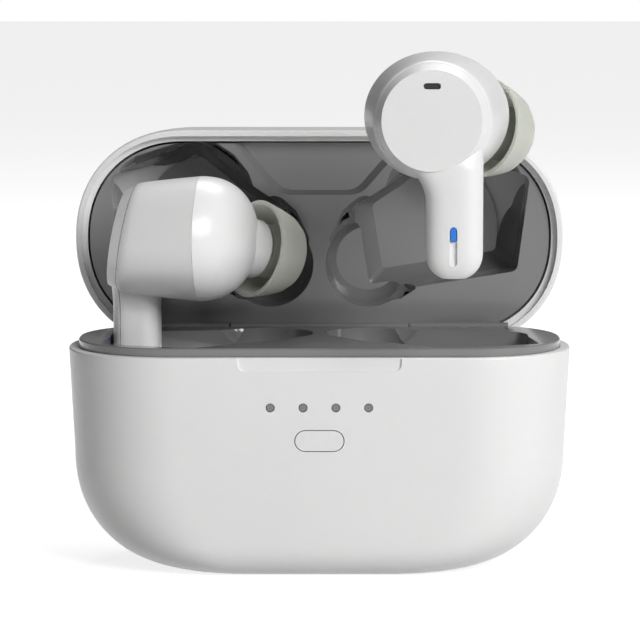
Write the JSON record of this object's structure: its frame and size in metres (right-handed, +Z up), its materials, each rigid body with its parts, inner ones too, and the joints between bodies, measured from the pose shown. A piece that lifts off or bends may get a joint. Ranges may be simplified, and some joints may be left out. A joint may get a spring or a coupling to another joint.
{
  "type": "wireless earbuds case",
  "caption": "White pill-shaped charging case with a hinged lid, grey inner tray and liner, and two white stem earbuds with soft ear tips, lid open.",
  "frame": {"origin": "centre of the flat face under the base that the case stands on", "axes": "+Z up, -Y out of the front with the lights and the button, +X to the right seen from the front"},
  "size_m": [0.066, 0.0586, 0.0679],
  "materials": {
    "white_plastic": "satin moulded white",
    "grey_plastic": "glossy dark grey",
    "dark_plastic": "matte",
    "steel": "fine brushed",
    "gold": "plated",
    "board": "solder mask",
    "silicone": "translucent soft",
    "light_pipe": "unlit",
    "blue_light": "lit"
  },
  "bodies": {
    "case": {"base_shell": "white_plastic", "base_tray": "grey_plastic", "button_switch": "steel", "case_battery": "steel", "charging_board": "board", "hinge_pin": "steel", "led_light_guide": "light_pipe", "left_base_magnet": "steel", "left_pogo_block": "dark_plastic", "main_board": "board", "right_base_magnet": "steel", "right_pogo_block": "dark_plastic", "usb_c_shell": "steel", "usb_c_tongue": "dark_plastic"},
    "lid": {"left_lid_magnet": "steel", "lid_liner": "grey_plastic", "lid_shell": "white_plastic", "right_lid_magnet": "steel"},
    "mode_button": {"mode_button": "white_plastic"},
    "left_earbud": {"left_bud_button_cell": "steel", "left_bud_dock_magnet": "steel", "left_bud_dome": "white_plastic", "left_bud_driver": "dark_plastic", "left_bud_face_cover": "white_plastic", "left_bud_front_contact": "gold", "left_bud_housing": "white_plastic", "left_bud_mic_mesh": "dark_plastic", "left_bud_nozzle_mesh": "steel", "left_bud_rear_contact": "gold", "left_bud_status_light": "blue_light", "left_bud_stem_board": "board"},
    "left_ear_tip": {"left_ear_tip": "silicone"},
    "left_front_pogo_pin": {"left_front_pogo_pin": "gold"},
    "left_rear_pogo_pin": {"left_rear_pogo_pin": "gold"},
    "right_earbud": {"right_bud_button_cell": "steel", "right_bud_dock_magnet": "steel", "right_bud_dome": "white_plastic", "right_bud_driver": "dark_plastic", "right_bud_face_cover": "white_plastic", "right_bud_front_contact": "gold", "right_bud_housing": "white_plastic", "right_bud_mic_mesh": "dark_plastic", "right_bud_nozzle_mesh": "steel", "right_bud_rear_contact": "gold", "right_bud_status_light": "blue_light", "right_bud_stem_board": "board"},
    "right_ear_tip": {"right_ear_tip": "silicone"},
    "right_front_pogo_pin": {"right_front_pogo_pin": "gold"},
    "right_rear_pogo_pin": {"right_rear_pogo_pin": "gold"}
  },
  "joints": [
    {"name": "lid_hinge", "type": "hinge", "parent": "case", "child": "lid", "pos_m": [0, 0.01275, 0.02895], "axis": [1, 0, 0], "range_deg": [0, 90]},
    {"name": "left_earbud_lift", "type": "slide", "parent": "case", "child": "left_earbud", "axis": [0, 0, -1], "range_m": [0, 0.0093]},
    {"name": "right_earbud_lift", "type": "slide", "parent": "case", "child": "right_earbud", "axis": [0, 0, 1], "range_m": [0, 0.012]},
    {"name": "left_tip_pull", "type": "slide", "parent": "left_earbud", "child": "left_ear_tip", "axis": [-0.7913, -0.5749, 0.2079], "range_m": [-0.006, 0]},
    {"name": "right_tip_pull", "type": "slide", "parent": "right_earbud", "child": "right_ear_tip", "axis": [-0.7036, -0.6795, 0.2079], "range_m": [-0.006, 0]},
    {"name": "mode_button_press", "type": "slide", "parent": "case", "child": "mode_button", "axis": [0, 1, 0], "range_m": [0, 0.0004], "stiffness_N_per_m": 300},
    {"name": "left_front_pogo_pin_travel", "type": "slide", "parent": "case", "child": "left_front_pogo_pin", "axis": [0, 0, -1], "range_m": [0, 0.0005], "stiffness_N_per_m": 150},
    {"name": "left_rear_pogo_pin_travel", "type": "slide", "parent": "case", "child": "left_rear_pogo_pin", "axis": [0, 0, -1], "range_m": [0, 0.0005], "stiffness_N_per_m": 150},
    {"name": "right_front_pogo_pin_travel", "type": "slide", "parent": "case", "child": "right_front_pogo_pin", "axis": [0, 0, -1], "range_m": [0, 0.0005], "stiffness_N_per_m": 150},
    {"name": "right_rear_pogo_pin_travel", "type": "slide", "parent": "case", "child": "right_rear_pogo_pin", "axis": [0, 0, -1], "range_m": [0, 0.0005], "stiffness_N_per_m": 150}
  ],
  "couplings": [
    {"joint": "left_earbud_lift", "follows": "lid_hinge", "m_per_rad": 0.0059206}
  ]
}
